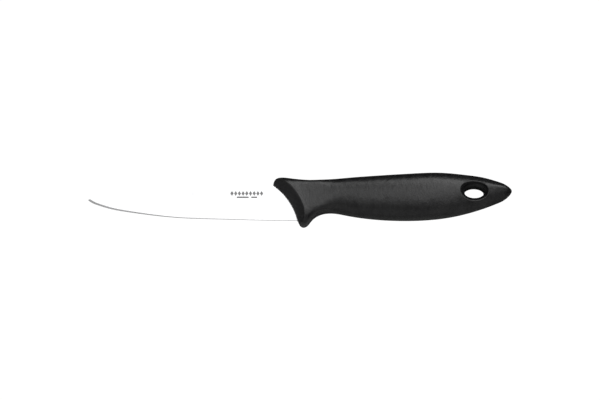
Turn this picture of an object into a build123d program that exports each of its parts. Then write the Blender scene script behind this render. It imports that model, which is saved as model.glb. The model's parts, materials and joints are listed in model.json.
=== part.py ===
from build123d import *
from math import copysign, cos, exp, hypot, pi, radians, sin, sqrt, tan
import os

# A boning knife that lies on its side: a narrow curved blade whose tang is moulded into a handle
# made in two shots, a hard core and a textured grip.
#
# It is drawn about a datum on the blade's mid-plane near the middle of the knife. +X runs from the
# tip to the butt, +Y from the cutting edge to the spine, and Z is the knife's thickness. The last
# lines move every piece so that the origin is under the middle of the knife. Millimetres.

# Blade
TIP = (-120.2, -0.09)
HEEL = (1.2, -12.2)
EDGE_LINE = [
    HEEL, (-5.7, -12.23), (-36.8, -11.57), (-56.3, -11.08), (-69.9, -10.44), (-83.5, -9.08),
    (-97.1, -7.22), (-107.3, -5.33), (-114.1, -3.28), (-117.5, -1.93), TIP,
]
SPINE_ROOT = (-6.5, 9.1)
SPINE_LINE = [TIP, (-107.5, 3.95), (-90.6, 6.3), (-67.9, 7.95), (-45.3, 8.7), (-15.0, 9.13), SPINE_ROOT]
GRIND_AT = (-15.0, -12.0)          # where the ground faces are GRIND_HALF from the mid-plane
GRIND_HALF = 0.085
GRIND_SLOPE_Y = 0.03               # the faces open from the edge to the spine
GRIND_SLOPE_X = 0.0003             # and close towards the tip
BLANK_HALF = 1                     # thicker than any ground part of the blade
EDGE_HALF = 0.03
BEVEL_ANGLE = [                    # degrees on each side of the sharpened edge, steeper at the tip
    (TIP[0], 18.5), (-108, 15.2), (-94, 14), (-60, 14), (HEEL[0], 14),
]
BEVEL_REACH = 3                    # wider than the bevel anywhere
BEVEL_STEPS = 24

# Tang, hidden in the handle
STOCK_HALF = 0.8
TANG_BOTTOM, TANG_TOP = -3.2, 7.6
TANG_END = 62
TANG_CORNER = 4
TANG_HOLES = (18, 34, 50)
TANG_HOLE_R = 2.5
SHOULDER = [(4.6, -8), (5.5, TANG_BOTTOM)]
TANG_TOP_START = -3
PLUNGE_AHEAD = 0.02                # the grind ends this far in front of the handle's face
FRONT_SPACE = (100, 60, 4)         # holds everything that lies in front of the handle

# Handle
BUTT_X = 120.25
BUTT_ROUND = 6                     # length over which the butt closes
TOP_LINE = [
    (-16.4, 0.9), (-15.7, 5.9), (-14.85, 9.5), (-13.4, 11.65), (-10.9, 12.3), (-6, 11.75),
    (0, 10.95), (6, 10.6), (16, 11.53), (25, 12.5), (52, 14.46), (70, 15.48), (80, 15.7),
    (93, 14.76), (107, 12.52), (113, 10.6), (BUTT_X, 8.3),
]
BOTTOM_LINE = [
    (-16.4, -9), (-3, -10.3), (-1.0, -12.55), (0.2, -14.75), (2.0, -15.6), (3.9, -14.88),
    (5.8, -12.6), (8.3, -9.77), (11.6, -7.87), (16.5, -7.46), (25, -8.88), (40, -11.18), (56, -12.1),
    (72, -11.66), (88, -9.64), (102, -5.88), (111, -2.52), (BUTT_X, 1.9),
]
HALF_THICKNESS = [
    (-16.4, 6.9), (5, 7.1), (18, 7.0), (38, 7.9), (60, 8.8), (78, 8.4), (98, 6.4), (110, 4.9),
    (BUTT_X, 3.5),
]
# The section is widest at this part of its height, and this square above and below there,
# where 2 is an ellipse and more is squarer
WIDEST_LEVEL = [
    (-16.4, 0.58), (0, 0.58), (11, 0.555), (24, 0.58), (45, 0.58), (80, 0.59), (98, 0.64),
    (BUTT_X, 0.72),
]
SQUARE_ABOVE = [
    (-16.4, 2.6), (-9, 3.5), (-2, 5.0), (5, 6.0), (10, 5.0), (14, 3.6), (18, 2.75), (24, 2.45),
    (32, 2.42), (70, 2.42), (79, 2.34), (88, 2.08), (100, 1.8), (109, 1.6), (BUTT_X, 1.55),
]
SQUARE_BELOW = [
    (-16.4, 3.0), (-10, 3.0), (-3, 3.05), (3, 3.4), (8, 4.9), (11.5, 5.5), (15, 3.8), (19, 2.5),
    (26, 2.18), (46, 2.23), (60, 2.28), (72, 2.4), (82, 2.28), (92, 1.97), (100, 1.75), (109, 1.55),
    (BUTT_X, 1.5),
]
SECTION_STEPS = 24
FRONT_STATIONS = [
    -15.5, -15.2, -14.8, -14.2, -13.2, -12, -10.5, -8, -5, -3, -1.5, -0.3, 0.8, 2, 3.3, 4.6, 6, 7.6,
    9.5, 12, 16, 21, 28,
]
GRIP_STATIONS = [36, 46, 56, 66, 76, 85, 93, 100, 106, 110.5]
BUTT_TURNS = (0, 15, 30, 42, 54, 66, 76)

# Handle's front face: a concave bow about an upright axis, which turns back up to a ridge
BOW_AXIS = (-35.5, -20.1)
BOW_R = 34.75
BOW_PROFILE = [(0, 0), (0.45, 2.0), (1.6, 4.4), (3.3, 6.65), (4.45, 7.8), (5.3, 8.28), (6.6, 8.5)]
BOW_TOP = 13
BOW_REACH = 14                     # how far behind the waist the profile ends, clear of the handle
RIDGE_BACK = 5.1
FLARE, FLARE_LENGTH = 0.19, 6.0    # the handle thickens towards the ridge
COLLAR_EDGE = 0.5                  # the core shows this far behind the ridge

# Grip moulding over the core
SKIN = 2.8

# Hang hole, an oval that is straight near the mid-plane and opens towards both faces
HOLE_AT = (98.78, 3.71)
HOLE_HALF = (5.5, 3.0)
HOLE_FLARE = (2.6, 3.45)
HOLE_LEAN = 0.65                   # the mouths sit this much nearer the butt than the waist
HOLE_STRAIGHT = 1.8                # half the length of the straight part
HOLE_DEPTH = 6.3                   # the handle's half thickness there
HOLE_LEVELS = (-9, -6.3, -4.6, -3, -1.5, 0, 1.5, 3, 4.6, 6.3, 9)
HOLE_RIM = 0.5
HOLE_MARGIN = 2                    # no edge but the hole's own lies this near to it

HALVINGS = 40                      # in a search along a curve, far finer than it needs


def line_through(points):
    """A smooth plan curve through the points."""
    return Edge.make_spline([Vector(*point) for point in points])


def height_at(curve, x):
    """Y of a plan curve where it crosses x."""
    low, high = 0.0, 1.0
    for _ in range(HALVINGS):
        middle = (low + high) / 2
        if (curve @ middle).X < x:
            low = middle
        else:
            high = middle
    return (curve @ low).Y


TOP_CURVE = line_through(TOP_LINE)
BOTTOM_CURVE = line_through(BOTTOM_LINE)
THICKNESS_CURVE = line_through(HALF_THICKNESS)
WIDEST_CURVE = line_through(WIDEST_LEVEL)
SQUARE_ABOVE_CURVE = line_through(SQUARE_ABOVE)
SQUARE_BELOW_CURVE = line_through(SQUARE_BELOW)
BEVEL_CURVE = line_through(BEVEL_ANGLE)


def section_point(x, angle, bottom, top, half):
    """A point of the egg-shaped section, thickened near the front ridge."""
    across, up = cos(angle), sin(angle)
    widest = bottom + height_at(WIDEST_CURVE, x) * (top - bottom)
    reach = top - widest if up >= 0 else widest - bottom
    power = 2 / height_at(SQUARE_ABOVE_CURVE if up >= 0 else SQUARE_BELOW_CURVE, x)
    y = widest + reach * copysign(abs(up) ** power, up)
    z = half * copysign(abs(across) ** power, across) if abs(across) > 1e-9 else 0
    behind_ridge = hypot(x - BOW_AXIS[0], y - BOW_AXIS[1]) - BOW_R - RIDGE_BACK
    return Vector(x, y, z * (1 + FLARE * exp(-max(behind_ridge, -FLARE_LENGTH) / FLARE_LENGTH)))


def handle_section(x, inset):
    """The handle's section at x, pulled in by the inset and closed towards the butt."""
    top = height_at(TOP_CURVE, x) - inset
    bottom = height_at(BOTTOM_CURVE, x) + inset
    half = height_at(THICKNESS_CURVE, x) - inset
    open_part = min(1, (BUTT_X - inset - x) / BUTT_ROUND)
    closing = sqrt(1 - (1 - open_part) ** 2)
    middle = (top + bottom) / 2
    top = middle + (top - middle) * closing
    bottom = middle + (bottom - middle) * closing
    turns = [pi / 2 - 2 * pi * step / SECTION_STEPS for step in range(SECTION_STEPS)]
    points = [section_point(x, turn, bottom, top, half * closing) for turn in turns]
    loop = Edge.make_spline(points, periodic=True)
    return Wire([loop.trim(0, 0.5), loop.trim(0.5, 1)])


def handle_body(inset=0):
    """The closed handle before its front, hole and tang are cut."""
    end = BUTT_X - inset
    butt_stations = [end - BUTT_ROUND * (1 - sin(radians(turn))) for turn in BUTT_TURNS]
    stations = FRONT_STATIONS + GRIP_STATIONS + butt_stations
    stations = [x for x in stations if x <= end]
    middle = (height_at(TOP_CURVE, end) + height_at(BOTTOM_CURVE, end)) / 2
    sections = [handle_section(x, inset) for x in sorted(set(stations))]
    return Solid.make_loft(sections + [Vertex(end, middle, 0)])


def bow_cutter(grown=0):
    """The space in front of the handle: a waisted solid of revolution about the bow's axis."""
    upper = [(BOW_R + back + grown, z) for back, z in BOW_PROFILE]
    rim = BOW_R + BOW_REACH + grown
    upper.append((rim, BOW_TOP))
    lower = [(r, -z) for r, z in reversed(upper[1:])]
    profile = Edge.make_spline([Vector(r, 0, z) for r, z in lower + upper])
    corners = [(rim, 0, BOW_TOP), (0, 0, BOW_TOP), (0, 0, -BOW_TOP), (rim, 0, -BOW_TOP)]
    sides = [Edge.make_line(a, b) for a, b in zip(corners, corners[1:])]
    return Pos(*BOW_AXIS, 0) * revolve(Face(Wire([profile] + sides)), axis=Axis.Z)


def hole_cutter():
    """The hang hole: ovals that widen away from the mid-plane."""
    ovals = []
    for z in HOLE_LEVELS:
        opened = max(0, abs(z) - HOLE_STRAIGHT) / (HOLE_DEPTH - HOLE_STRAIGHT)
        size = [half + flare * opened for half, flare in zip(HOLE_HALF, HOLE_FLARE)]
        ovals.append(Pos(HOLE_AT[0] + HOLE_LEAN * opened, HOLE_AT[1], z) * Ellipse(*size))
    return loft(ovals)


def handle_outside():
    """The whole outside of the handle, with its front face and its rounded hang hole."""
    drilled = (handle_body() - bow_cutter() - hole_cutter()).solids()[0]
    hole_x = HOLE_AT[0]
    reach = HOLE_HALF[0] + HOLE_FLARE[0] + HOLE_MARGIN
    rims = [
        edge for edge in drilled.edges()
        if abs(edge.center().X - hole_x) < reach and edge.length > 4 * reach
    ]
    return drilled.fillet(HOLE_RIM, rims)


def steel_outline():
    """The plan of the blade and its tang in one face."""
    end = [(TANG_END, TANG_BOTTOM), (TANG_END, TANG_TOP), (TANG_TOP_START, TANG_TOP)]
    back = [HEEL, *SHOULDER, *end, SPINE_ROOT]
    back_lines = [Edge.make_line(Vector(*a), Vector(*b)) for a, b in zip(back, back[1:])]
    return Face(Wire([line_through(EDGE_LINE), line_through(SPINE_LINE)] + back_lines))


def before_handle():
    """The space in front of the handle's face, where the blade shows."""
    length, width, height = FRONT_SPACE
    bow = Pos(*BOW_AXIS, 0) * Cylinder(BOW_R - PLUNGE_AHEAD, height)
    rest = Pos(BOW_AXIS[0] - length / 2, 0, 0) * Box(length, width, height)
    return bow + rest


def ground_blade():
    """The part of the blade that shows, with two flat faces that close towards the edge."""
    blank = extrude(steel_outline(), amount=BLANK_HALF, both=True)
    for side in (1, -1):
        face = Plane(
            origin=(*GRIND_AT, side * GRIND_HALF),
            z_dir=(-GRIND_SLOPE_X, -GRIND_SLOPE_Y, side),
        )
        blank = split(blank, face, keep=Keep.BOTTOM)
    sharpening = bevel_cutter()
    return (blank & before_handle()) - sharpening - mirror(sharpening, Plane.XY)


def bevel_cutter():
    """The wedge of space above the sharpened bevel, along the whole edge."""
    edge = line_through(EDGE_LINE)
    parts_of_edge = [step / BEVEL_STEPS for step in range(BEVEL_STEPS + 1)]
    places = [(edge @ part, edge % part) for part in parts_of_edge]
    (start, first_way), (end, last_way) = places[0], places[-1]
    before = (start - BEVEL_REACH * first_way, first_way)
    after = (end + BEVEL_REACH * last_way, last_way)
    wedges = []
    for place, forward in [before, *places, after]:
        inward = Vector(forward.Y, -forward.X)
        outer, inner = place - inward, place + BEVEL_REACH * inward
        rise = tan(radians(height_at(BEVEL_CURVE, place.X)))
        corners = [
            Vector(outer.X, outer.Y, EDGE_HALF - rise),
            Vector(inner.X, inner.Y, EDGE_HALF + BEVEL_REACH * rise),
            Vector(outer.X, outer.Y, 2 * BLANK_HALF),
        ]
        wedges.append(Wire.make_polygon(corners))
    return Solid.make_loft(wedges)


def tang():
    """The full-thickness root and tang inside the handle, with the holes that lock it in the core."""
    plate = extrude(steel_outline(), amount=STOCK_HALF, both=True) - before_handle()
    middle = (TANG_BOTTOM + TANG_TOP) / 2
    for x in TANG_HOLES:
        plate -= Pos(x, middle, 0) * Cylinder(TANG_HOLE_R, 4 * STOCK_HALF)
    upright = [edge for edge in plate.edges().filter_by(Axis.Z) if edge.geom_type == GeomType.LINE]
    ends = [edge for edge in upright if edge.center().X > TANG_END - 1]
    return fillet(ends, TANG_CORNER)


def blade():
    """Ground blade, sharpened edge and tang in one piece of steel."""
    return ground_blade() + tang()


def handle_pieces(steel):
    """The hard core with its front collar, and the grip moulded over it."""
    outside = handle_outside()
    core_space = handle_body(SKIN)
    collar_space = bow_cutter(COLLAR_EDGE)
    grip = outside - core_space - collar_space - steel
    core = outside - grip - steel
    return core, grip


def main():
    steel = blade()
    core, grip = handle_pieces(steel)
    pieces = {"blade": steel, "handle_core": core, "handle_grip": grip}
    middle_y = (TOP_CURVE.bounding_box().max.Y + BOTTOM_CURVE.bounding_box().min.Y) / 2
    thickest = THICKNESS_CURVE.bounding_box().max.Y
    place = Pos(-(TIP[0] + BUTT_X) / 2, -middle_y, thickest)
    os.makedirs("parts", exist_ok=True)
    for name, piece in pieces.items():
        export_step(place * piece, f"parts/{name}.step")


main()
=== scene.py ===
import json
import math

import bpy
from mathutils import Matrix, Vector


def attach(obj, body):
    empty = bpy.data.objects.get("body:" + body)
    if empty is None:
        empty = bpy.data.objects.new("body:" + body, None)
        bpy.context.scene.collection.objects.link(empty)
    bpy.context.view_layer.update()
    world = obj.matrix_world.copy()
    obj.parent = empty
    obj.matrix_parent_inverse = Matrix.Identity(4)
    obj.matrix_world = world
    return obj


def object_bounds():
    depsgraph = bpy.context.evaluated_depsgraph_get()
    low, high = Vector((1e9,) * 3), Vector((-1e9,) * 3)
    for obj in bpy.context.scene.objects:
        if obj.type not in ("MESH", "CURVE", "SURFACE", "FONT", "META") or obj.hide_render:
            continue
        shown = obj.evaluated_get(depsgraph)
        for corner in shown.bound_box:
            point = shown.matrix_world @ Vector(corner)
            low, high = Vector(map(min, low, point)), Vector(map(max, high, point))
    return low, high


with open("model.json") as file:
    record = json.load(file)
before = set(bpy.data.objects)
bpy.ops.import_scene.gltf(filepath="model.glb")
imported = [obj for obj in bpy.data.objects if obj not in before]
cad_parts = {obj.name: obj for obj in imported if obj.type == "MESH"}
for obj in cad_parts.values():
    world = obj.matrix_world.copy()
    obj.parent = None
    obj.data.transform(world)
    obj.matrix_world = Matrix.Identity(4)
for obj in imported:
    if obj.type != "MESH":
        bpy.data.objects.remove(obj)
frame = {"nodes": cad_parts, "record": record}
cad_low, cad_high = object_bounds()

# The knife lies on its side: +X from tip to butt, +Y from the cutting edge to the spine, +Z up.
MM = 0.001
CENTRE = (cad_low + cad_high) / 2

# Camera: it looks down at the flat of the blade, from a little on the cutting edge's side
CAMERA_TILT = math.radians(16)
CAMERA_DISTANCE = 0.945
CAMERA_LENS, CAMERA_SENSOR = 100, 36
CAMERA_AIM = (-0.025 * MM, -0.058 * MM, 8.827 * MM)

# Softboxes stacked overhead, so that the light fades softly towards the front, and starts further
# right at the back: the near and far edges in degrees from upright (+ is behind the knife), the left
# edge in metres, and the radiance
SOFTBOXES = [
    (-45, 60, -1.2, 0.15),
    (-20, 60, -1.2, 0.2),
    (-9, 22, -0.9, 0.36),
    (0, 22, -0.7, 0.5),
    (9, 22, -0.6, 0.36),
    (22, 38, 0.2, 1.65),
    (30, 38, 0.2, 0.8),
    (38, 60, -0.15, 2.3),
]
SOFTBOX_HEIGHT, SOFTBOX_RIGHT = 1.2, 1.9
SOFTBOX_GAP = 0.01                 # each box hangs this much higher than the one before

# Lower lamps: place and direction in metres, width and height, and radiance
FILL_LAMPS = {
    "front_fill": ((0, -1.4, 0.75), (0, 1, -0.35), (3.0, 1.4), 0.36),
    "tip_fill": ((-1.4, -0.5, 0.5), (1, 0.35, -0.3), (0.8, 0.6), 0.3),
}
SKY_STRENGTH = 0.02

# Floor: how bright it looks, and how much light its back and front halves throw at the knife
FLOOR_HALF = 4
FLOOR_GLOW = 1.05
FLOOR_CARDS = (0.02, 0.45)
FLOOR_TURN = (-0.02, 0.01)         # Y between which the front half turns into the back half

# Generic mark etched on the upper side of the blade, near the handle: a row of rhombs over a long
# and a short dash
MARK_AT = (-30.2 * MM, 3.65 * MM)
MARK_LIFT = 0.01 * MM
RHOMB_COUNT, RHOMB_PITCH = 9, 2.1 * MM
RHOMB_HALF = (0.95 * MM, 1.45 * MM)
DASH_DROP, DASH_THIN = 2.25 * MM, 0.45 * MM
DASHES = [(-2.3 * MM, 3.4 * MM), (4.2 * MM, 1.7 * MM)]     # middle and half length

# Sharpened bevels, darkened with painted shade: how upright the normal of a bevel and of a ground
# face is, and the two places along the blade between which the painted shade on the bevel grows from
# none, at the tip, to full
BEVEL_UPRIGHT = (0.975, 0.99)
BEVEL_SHADE_FADES = (-113 * MM, -52 * MM)

# Mould parting line, a faint raised line round the handle at its mid-plane
PARTING_HALF, PARTING_RISE = 0.12 * MM, 0.05 * MM


def node_material(name):
    """A new material with only an output and a Principled shader in its node tree."""
    material = bpy.data.materials.new(name)
    material.use_nodes = True
    tree = material.node_tree
    tree.nodes.clear()
    output = tree.nodes.new("ShaderNodeOutputMaterial")
    shader = tree.nodes.new("ShaderNodeBsdfPrincipled")
    tree.links.new(shader.outputs["BSDF"], output.inputs["Surface"])
    return material, tree, shader


def add_node(tree, kind, inputs=None, **settings):
    """A node with its settings and constant inputs."""
    node = tree.nodes.new(kind)
    for name, value in settings.items():
        setattr(node, name, value)
    for name, value in (inputs or {}).items():
        node.inputs[name].default_value = value
    return node


def object_coordinates(tree, scale):
    """Object coordinates in metres, stretched by a scale for each axis."""
    source = add_node(tree, "ShaderNodeTexCoord")
    mapping = add_node(tree, "ShaderNodeMapping", {"Scale": scale})
    tree.links.new(source.outputs["Object"], mapping.inputs["Vector"])
    return mapping.outputs["Vector"]


def noise(tree, scale, stretch=(1, 1, 1), detail=4, roughness=0.5):
    """Fine noise, with features of about 1 / scale metres."""
    node = add_node(
        tree, "ShaderNodeTexNoise", {"Scale": scale, "Detail": detail, "Roughness": roughness})
    tree.links.new(object_coordinates(tree, stretch), node.inputs["Vector"])
    return node.outputs["Fac"]


def ranged(tree, value, low, high, source=(0.3, 0.7)):
    """A value spread over a range."""
    node = add_node(tree, "ShaderNodeMapRange", {
        "From Min": source[0], "From Max": source[1], "To Min": low, "To Max": high})
    tree.links.new(value, node.inputs["Value"])
    return node.outputs["Result"]


def blended(tree, factor, dark, light):
    """A colour between two, by a factor."""
    ramp = add_node(tree, "ShaderNodeValToRGB")
    ramp.color_ramp.elements[0].color = (*dark, 1)
    ramp.color_ramp.elements[1].color = (*light, 1)
    tree.links.new(factor, ramp.inputs["Fac"])
    return ramp.outputs["Color"]


def bumped(tree, shader, layers):
    """Bump layers, each a height, its depth in metres and its strength, one over the other."""
    normal = None
    for height, depth, strength in layers:
        bump = add_node(tree, "ShaderNodeBump", {"Strength": strength, "Distance": depth})
        tree.links.new(height, bump.inputs["Height"])
        if normal:
            tree.links.new(normal, bump.inputs["Normal"])
        normal = bump.outputs["Normal"]
    tree.links.new(normal, shader.inputs["Normal"])


def parting_line(tree):
    """1 along the handle's mid-plane and 0 away from it."""
    place = add_node(tree, "ShaderNodeSeparateXYZ")
    tree.links.new(object_coordinates(tree, (1, 1, 1)), place.inputs["Vector"])
    above = add_node(tree, "ShaderNodeMath", operation="SUBTRACT")
    above.inputs[1].default_value = CENTRE.z
    tree.links.new(place.outputs["Z"], above.inputs[0])
    distance = add_node(tree, "ShaderNodeMath", operation="ABSOLUTE")
    tree.links.new(above.outputs[0], distance.inputs[0])
    return ranged(tree, distance.outputs[0], 1, 0, source=(0.4 * PARTING_HALF, PARTING_HALF))


def bevel_painted_shade(tree):
    """Painted shade on the sharpened bevels: 1 on the bevels, which lean more than the ground faces
    do, and less towards the tip.
    """
    source = add_node(tree, "ShaderNodeTexCoord")
    lean = add_node(tree, "ShaderNodeSeparateXYZ")
    tree.links.new(source.outputs["Normal"], lean.inputs["Vector"])
    upright = add_node(tree, "ShaderNodeMath", operation="ABSOLUTE")
    tree.links.new(lean.outputs["Z"], upright.inputs[0])
    place = add_node(tree, "ShaderNodeSeparateXYZ")
    tree.links.new(object_coordinates(tree, (1, 1, 1)), place.inputs["Vector"])
    painted_shade = add_node(tree, "ShaderNodeMath", operation="MULTIPLY")
    tree.links.new(ranged(tree, upright.outputs[0], 1, 0, source=BEVEL_UPRIGHT), painted_shade.inputs[0])
    tree.links.new(ranged(tree, place.outputs["X"], 0, 1, source=BEVEL_SHADE_FADES), painted_shade.inputs[1])
    return painted_shade.outputs[0]


def blade_steel():
    """Satin steel with fine grinding lines that run across the blade, and painted shade on the
    bevels.
    """
    material, tree, shader = node_material("blade_steel")
    lines = noise(tree, 260, stretch=(14, 0.7, 1), detail=5, roughness=0.65)
    patches = noise(tree, 45, detail=2)
    face = blended(tree, ranged(tree, lines, 0, 1), (0.80, 0.80, 0.81), (0.90, 0.90, 0.905))
    # The bevels' darker colour is painted shade, which fades out towards the tip
    bevel = blended(tree, ranged(tree, lines, 0, 1), (0.34, 0.34, 0.35), (0.48, 0.48, 0.49))
    colour = add_node(tree, "ShaderNodeMixRGB")
    tree.links.new(bevel_painted_shade(tree), colour.inputs["Fac"])
    tree.links.new(face, colour.inputs["Color1"])
    tree.links.new(bevel, colour.inputs["Color2"])
    tree.links.new(colour.outputs["Color"], shader.inputs["Base Color"])
    tree.links.new(ranged(tree, patches, 0.24, 0.32), shader.inputs["Roughness"])
    shader.inputs["Metallic"].default_value = 1
    bumped(tree, shader, [(lines, 0.006 * MM, 0.35)])
    return material


def core_plastic():
    """Smooth hard plastic, faintly uneven from the mould."""
    material, tree, shader = node_material("core_plastic")
    cloud = noise(tree, 700, detail=3)
    grain = noise(tree, 3500, detail=2)
    colour = blended(tree, ranged(tree, cloud, 0, 1), (0.012, 0.012, 0.0125), (0.021, 0.021, 0.0215))
    tree.links.new(colour, shader.inputs["Base Color"])
    tree.links.new(ranged(tree, cloud, 0.36, 0.44), shader.inputs["Roughness"])
    bumped(tree, shader, [
        (parting_line(tree), PARTING_RISE, 0.7), (cloud, 0.04 * MM, 0.6), (grain, 0.006 * MM, 0.6)])
    return material


def grip_plastic():
    """Soft textured plastic: a fine spark-eroded grain over a faint mottle."""
    material, tree, shader = node_material("grip_plastic")
    mottle = noise(tree, 230, stretch=(1.4, 0.8, 1), detail=5, roughness=0.7)
    grain = noise(tree, 2600, detail=3, roughness=0.6)
    colour = blended(tree, ranged(tree, mottle, 0, 1), (0.003, 0.003, 0.0035), (0.021, 0.021, 0.0215))
    tree.links.new(colour, shader.inputs["Base Color"])
    tree.links.new(ranged(tree, grain, 0.27, 0.33), shader.inputs["Roughness"])
    bumped(tree, shader, [
        (parting_line(tree), PARTING_RISE, 0.7), (mottle, 0.45 * MM, 0.7), (grain, 0.009 * MM, 0.5)])
    return material


def etched_steel():
    """Steel darkened and dulled by etching."""
    material, tree, shader = node_material("etched_steel")
    speckle = noise(tree, 3000, detail=3)
    colour = blended(tree, ranged(tree, speckle, 0, 1), (0.25, 0.25, 0.253), (0.36, 0.36, 0.365))
    tree.links.new(colour, shader.inputs["Base Color"])
    tree.links.new(ranged(tree, speckle, 0.5, 0.65), shader.inputs["Roughness"])
    shader.inputs["Metallic"].default_value = 0.6
    bumped(tree, shader, [(speckle, 0.004 * MM, 0.6)])
    return material


def rhomb(x, y):
    """The corners of one rhomb."""
    wide, high = RHOMB_HALF
    return [(x - wide, y), (x, y - high), (x + wide, y), (x, y + high)]


def dash(x, y, long):
    """The corners of one dash."""
    high = DASH_THIN
    return [(x - long, y - high), (x + long, y - high), (x + long, y + high), (x - long, y + high)]


def etched_mark():
    """Thin dark shapes that lie in the blade's ground face, each a flat prism."""
    face = next(mount for mount in frame["record"]["mounts"] if mount["name"] == "blade_face")
    at, axis = Vector(face["pos_m"]), Vector(face["axis"])
    shapes = [dash(MARK_AT[0] + middle, MARK_AT[1] - DASH_DROP, long) for middle, long in DASHES]
    for number in range(RHOMB_COUNT):
        x = MARK_AT[0] + (number - (RHOMB_COUNT - 1) / 2) * RHOMB_PITCH
        shapes.append(rhomb(x, MARK_AT[1]))
    vertices, faces = [], []
    for shape in shapes:
        first = len(vertices)
        for lift in (-MARK_LIFT, MARK_LIFT):
            for x, y in shape:
                z = at.z - (axis.x * (x - at.x) + axis.y * (y - at.y)) / axis.z
                vertices.append((x, y, z + lift))
        faces.append([first + 3, first + 2, first + 1, first])
        faces.append([first + 4, first + 5, first + 6, first + 7])
        for i in range(4):
            j = (i + 1) % 4
            faces.append([first + i, first + j, first + 4 + j, first + 4 + i])
    mesh = bpy.data.meshes.new("etched_mark")
    mesh.from_pydata(vertices, [], faces)
    mesh.materials.append(etched_steel())
    mark = bpy.data.objects.new("etched_mark", mesh)
    bpy.context.scene.collection.objects.link(mark)
    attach(mark, "root")


def paint(node, material):
    """Give a CAD node's slots a material."""
    for slot in frame["nodes"][node].material_slots:
        slot.material = material


def make_camera():
    """A long lens that looks down along the tilt at the middle of the knife."""
    camera = bpy.data.objects.new("camera", bpy.data.cameras.new("camera"))
    bpy.context.scene.collection.objects.link(camera)
    camera.data.lens = CAMERA_LENS
    camera.data.sensor_width = CAMERA_SENSOR
    aim_x, aim_y, aim_z = CAMERA_AIM
    camera.location = (
        aim_x,
        aim_y - math.sin(CAMERA_TILT) * CAMERA_DISTANCE,
        aim_z + math.cos(CAMERA_TILT) * CAMERA_DISTANCE,
    )
    camera.rotation_euler = (CAMERA_TILT, 0, 0)
    bpy.context.scene.camera = camera


def make_floor():
    """A pale floor that photographs pure white and throws little light back at the knife."""
    half = FLOOR_HALF
    corners = [(-half, -half, 0), (half, -half, 0), (half, half, 0), (-half, half, 0)]
    mesh = bpy.data.meshes.new("floor")
    mesh.from_pydata(corners, [], [(0, 1, 2, 3)])
    floor = bpy.data.objects.new("floor", mesh)
    bpy.context.scene.collection.objects.link(floor)
    material = bpy.data.materials.new("floor_white")
    material.use_nodes = True
    tree = material.node_tree
    tree.nodes.clear()
    output = add_node(tree, "ShaderNodeOutputMaterial")
    seen = add_node(tree, "ShaderNodeEmission", {"Strength": FLOOR_GLOW})
    place = add_node(tree, "ShaderNodeSeparateXYZ")
    tree.links.new(object_coordinates(tree, (1, 1, 1)), place.inputs["Vector"])
    towards_front = ranged(tree, place.outputs["Y"], 1, 0, source=FLOOR_TURN)
    back_card, front_card = FLOOR_CARDS
    card = blended(tree, towards_front, [back_card] * 3, [front_card] * 3)
    lit = add_node(tree, "ShaderNodeBsdfDiffuse")
    tree.links.new(card, lit.inputs["Color"])
    path = add_node(tree, "ShaderNodeLightPath")
    mix = add_node(tree, "ShaderNodeMixShader")
    tree.links.new(path.outputs["Is Camera Ray"], mix.inputs[0])
    tree.links.new(lit.outputs[0], mix.inputs[1])
    tree.links.new(seen.outputs[0], mix.inputs[2])
    tree.links.new(mix.outputs[0], output.inputs["Surface"])
    mesh.materials.append(material)


def area_light(name, place, towards, size, radiance):
    """A rectangular lamp that shines evenly with this radiance from its face."""
    light = bpy.data.lights.new(name, "AREA")
    light.shape = "RECTANGLE"
    light.size, light.size_y = size
    light.energy = radiance * size[0] * size[1] * math.pi
    lamp = bpy.data.objects.new(name, light)
    bpy.context.scene.collection.objects.link(lamp)
    lamp.location = place
    lamp.rotation_euler = Vector(towards).to_track_quat("-Z", "Y").to_euler()


def softbox(number, near, far, left, radiance):
    """A softbox overhead that spans two angles from upright."""
    height = SOFTBOX_HEIGHT + SOFTBOX_GAP * number
    front = math.tan(math.radians(near)) * height
    back = math.tan(math.radians(far)) * height
    place = ((left + SOFTBOX_RIGHT) / 2, (front + back) / 2, height)
    size = (SOFTBOX_RIGHT - left, back - front)
    area_light(f"softbox_{number}", place, (0, 0, -1), size, radiance)


def make_lights():
    """The softboxes, the fill lamps and a faint even sky."""
    for number, box in enumerate(SOFTBOXES):
        softbox(number, *box)
    for name, lamp in FILL_LAMPS.items():
        area_light(name, *lamp)
    world = bpy.data.worlds.new("world")
    world.use_nodes = True
    background = world.node_tree.nodes["Background"]
    background.inputs["Color"].default_value = (1, 1, 1, 1)
    background.inputs["Strength"].default_value = SKY_STRENGTH
    bpy.context.scene.world = world


paint("blade", blade_steel())
paint("handle_core", core_plastic())
paint("handle_grip", grip_plastic())
etched_mark()
make_camera()
make_floor()
make_lights()
bpy.context.scene.view_settings.view_transform = "Standard"
